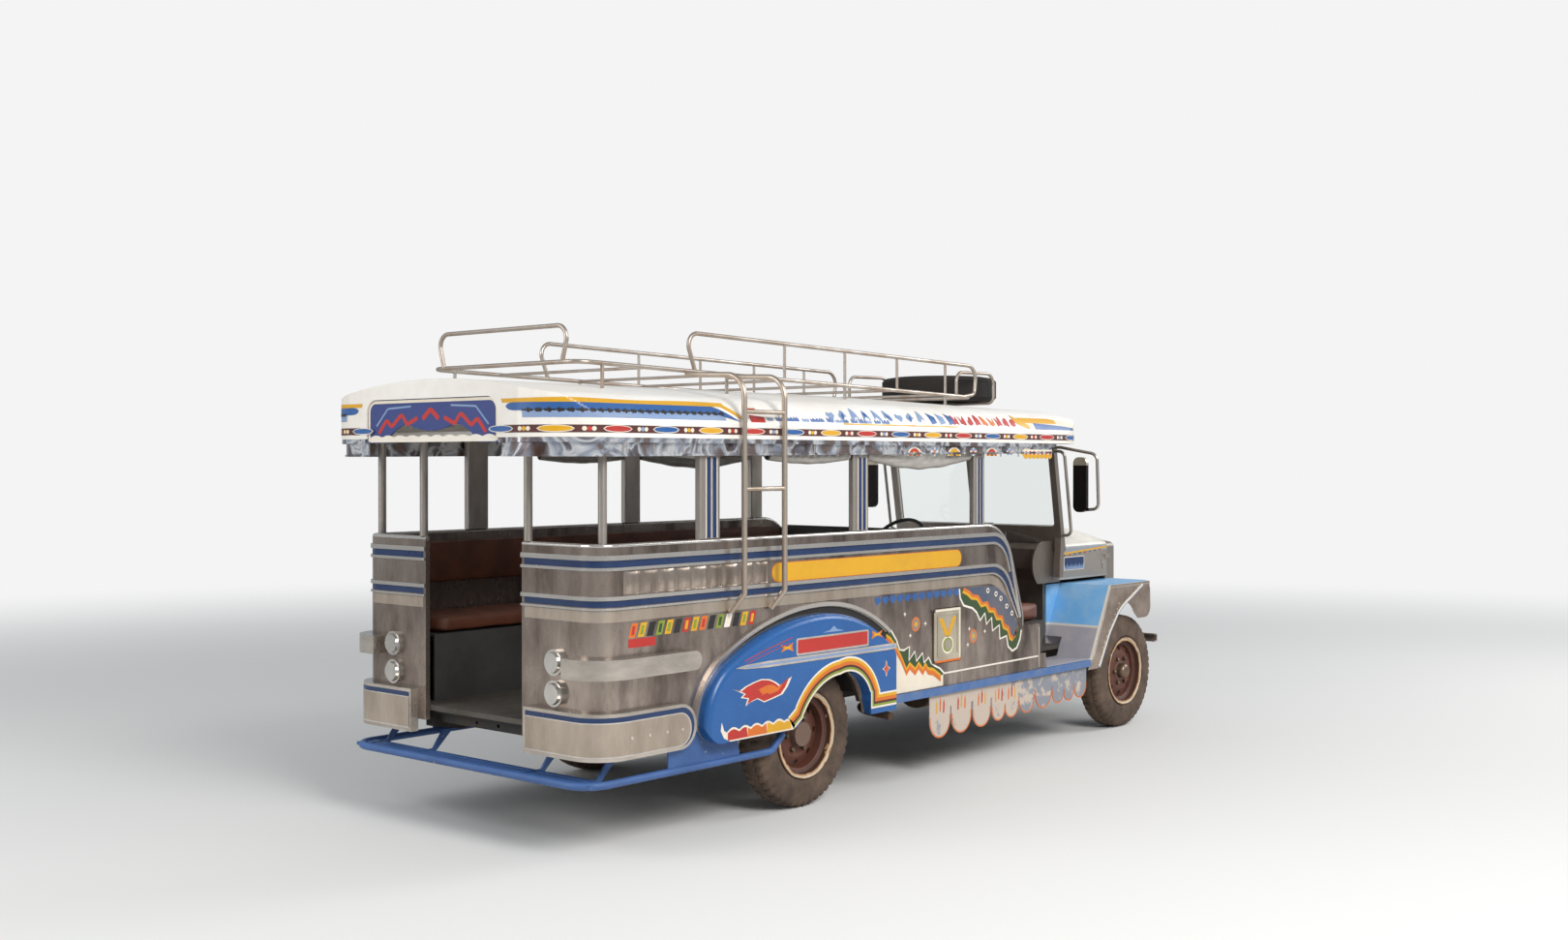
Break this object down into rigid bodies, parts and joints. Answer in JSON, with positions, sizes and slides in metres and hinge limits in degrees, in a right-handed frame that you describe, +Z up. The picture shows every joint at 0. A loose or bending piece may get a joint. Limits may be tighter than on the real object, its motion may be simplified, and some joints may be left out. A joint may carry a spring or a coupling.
{
  "type": "jeepney passenger vehicle",
  "caption": "Long open-sided passenger vehicle on a ladder frame: roofed cabin with side benches, hinged hood, steered front wheels, roof rack, ladder and rear entrance.",
  "frame": {"origin": "middle of the vehicle's length and width, on the ground", "axes": "+X forward, +Y to the vehicle's left, +Z up"},
  "size_m": [5.55, 1.94, 2.4077],
  "materials": {
    "frame_paint": "matt, worn",
    "spring_steel": "rusty",
    "engine_iron": "matt",
    "exhaust_steel": "rusty",
    "floor_sheet": "worn",
    "body_stainless": "dull, smeared",
    "door_paint": "satin",
    "moulding_blue": "gloss, worn",
    "roof_paint": "gloss, stained",
    "valance_chrome": "embossed",
    "visor_paint": "gloss",
    "rack_steel": "satin, rusty",
    "wheel_paint": "worn",
    "tyre": "dusty",
    "seat_box": "worn",
    "seat_vinyl": "padded vinyl",
    "curtain_sheet": "rolled sheet",
    "hood_paint": "gloss, worn",
    "cowl_stainless": "dull",
    "rim_black": "satin",
    "screen_steel": "satin",
    "screen_glass": "clear",
    "grille_steel": "satin",
    "lamp_bright": "polished",
    "front_fender_paint": "gloss, worn",
    "bumper_steel": "rusty",
    "rear_tube_paint": "chipped",
    "guard_stainless": "bright",
    "rear_fender_paint": "gloss",
    "skirt_paint": "worn",
    "mirror_back": "matt"
  },
  "bodies": {
    "body": {"chassis_frame": "frame_paint", "axles": "spring_steel", "leaf_springs": "spring_steel", "engine_block": "engine_iron", "exhaust": "exhaust_steel", "cabin_floor": "floor_sheet", "body_sides": "body_stainless", "rear_corners": "body_stainless", "body_mouldings": "moulding_blue", "window_pillars": "body_stainless", "roof_shell": "roof_paint", "roof_valances": "valance_chrome", "rear_visor": "visor_paint", "roof_rack": "rack_steel", "ladder": "rack_steel", "spare_wheel": "tyre", "seat_frames": "seat_box", "seat_pads": "seat_vinyl", "curtain_rolls": "curtain_sheet", "cowl": "cowl_stainless", "windshield_frame": "screen_steel", "windshield_glass": "screen_glass", "grille": "grille_steel", "lamps": "lamp_bright", "front_fenders": "front_fender_paint", "front_bumper": "bumper_steel", "rear_bumper": "rear_tube_paint", "quarter_guards": "guard_stainless", "rear_fenders": "rear_fender_paint", "side_skirts": "skirt_paint", "mirrors": "mirror_back"},
    "access_door": {"access_door": "door_paint"},
    "hood": {"hood": "hood_paint"},
    "knuckle_right": {"knuckle_right": "spring_steel"},
    "knuckle_left": {"knuckle_left": "spring_steel"},
    "tie_rod": {"tie_rod": "spring_steel"},
    "steering_wheel": {"steering_wheel": "rim_black"},
    "road_wheel_front_right": {"wheel_front_right": "wheel_paint", "tyre_front_right": "tyre"},
    "road_wheel_front_left": {"wheel_front_left": "wheel_paint", "tyre_front_left": "tyre"},
    "road_wheel_rear_right": {"wheel_rear_right": "wheel_paint", "tyre_rear_right": "tyre"},
    "road_wheel_rear_left": {"wheel_rear_left": "wheel_paint", "tyre_rear_left": "tyre"}
  },
  "joints": [
    {"name": "steer_left", "type": "hinge", "parent": "body", "child": "knuckle_left", "pos_m": [2.24, 0.62, 0.37], "axis": [0, 0, 1], "range_deg": [-25, 25]},
    {"name": "steer_right", "type": "hinge", "parent": "body", "child": "knuckle_right", "pos_m": [2.24, -0.62, 0.37], "axis": [0, 0, 1], "range_deg": [-25, 25]},
    {"name": "tie_rod_end", "type": "hinge", "parent": "knuckle_left", "child": "tie_rod", "pos_m": [2.1, 0.62, 0.3], "axis": [0, 0, 1], "range_deg": [-25, 25]},
    {"name": "steering_wheel_turn", "type": "hinge", "parent": "body", "child": "steering_wheel", "pos_m": [1.345, 0.36, 1.185], "axis": [-0.7733, 0, 0.634], "range_deg": [-300, 300]},
    {"name": "spin_front_right", "type": "hinge", "parent": "knuckle_right", "child": "road_wheel_front_right", "pos_m": [2.24, -0.7575, 0.37], "axis": [0, 1, 0], "continuous": true},
    {"name": "spin_front_left", "type": "hinge", "parent": "knuckle_left", "child": "road_wheel_front_left", "pos_m": [2.24, 0.7575, 0.37], "axis": [0, 1, 0], "continuous": true},
    {"name": "spin_rear_right", "type": "hinge", "parent": "body", "child": "road_wheel_rear_right", "pos_m": [-1.055, -0.7575, 0.37], "axis": [0, 1, 0], "continuous": true},
    {"name": "spin_rear_left", "type": "hinge", "parent": "body", "child": "road_wheel_rear_left", "pos_m": [-1.055, 0.7575, 0.37], "axis": [0, 1, 0], "continuous": true},
    {"name": "hood_hinge", "type": "hinge", "parent": "body", "child": "hood", "pos_m": [1.801, 0, 1.342], "axis": [0, -1, 0], "range_deg": [0, 60]},
    {"name": "access_door_hinge", "type": "hinge", "parent": "body", "child": "access_door", "pos_m": [-0.007, -0.887, 0.785], "axis": [0, 0, -1], "range_deg": [0, 100]}
  ],
  "couplings": [
    {"joint": "steer_right", "follows": "steer_left", "ratio": 1},
    {"joint": "tie_rod_end", "follows": "steer_left", "ratio": -1},
    {"joint": "steering_wheel_turn", "follows": "steer_left", "ratio": 12}
  ]
}
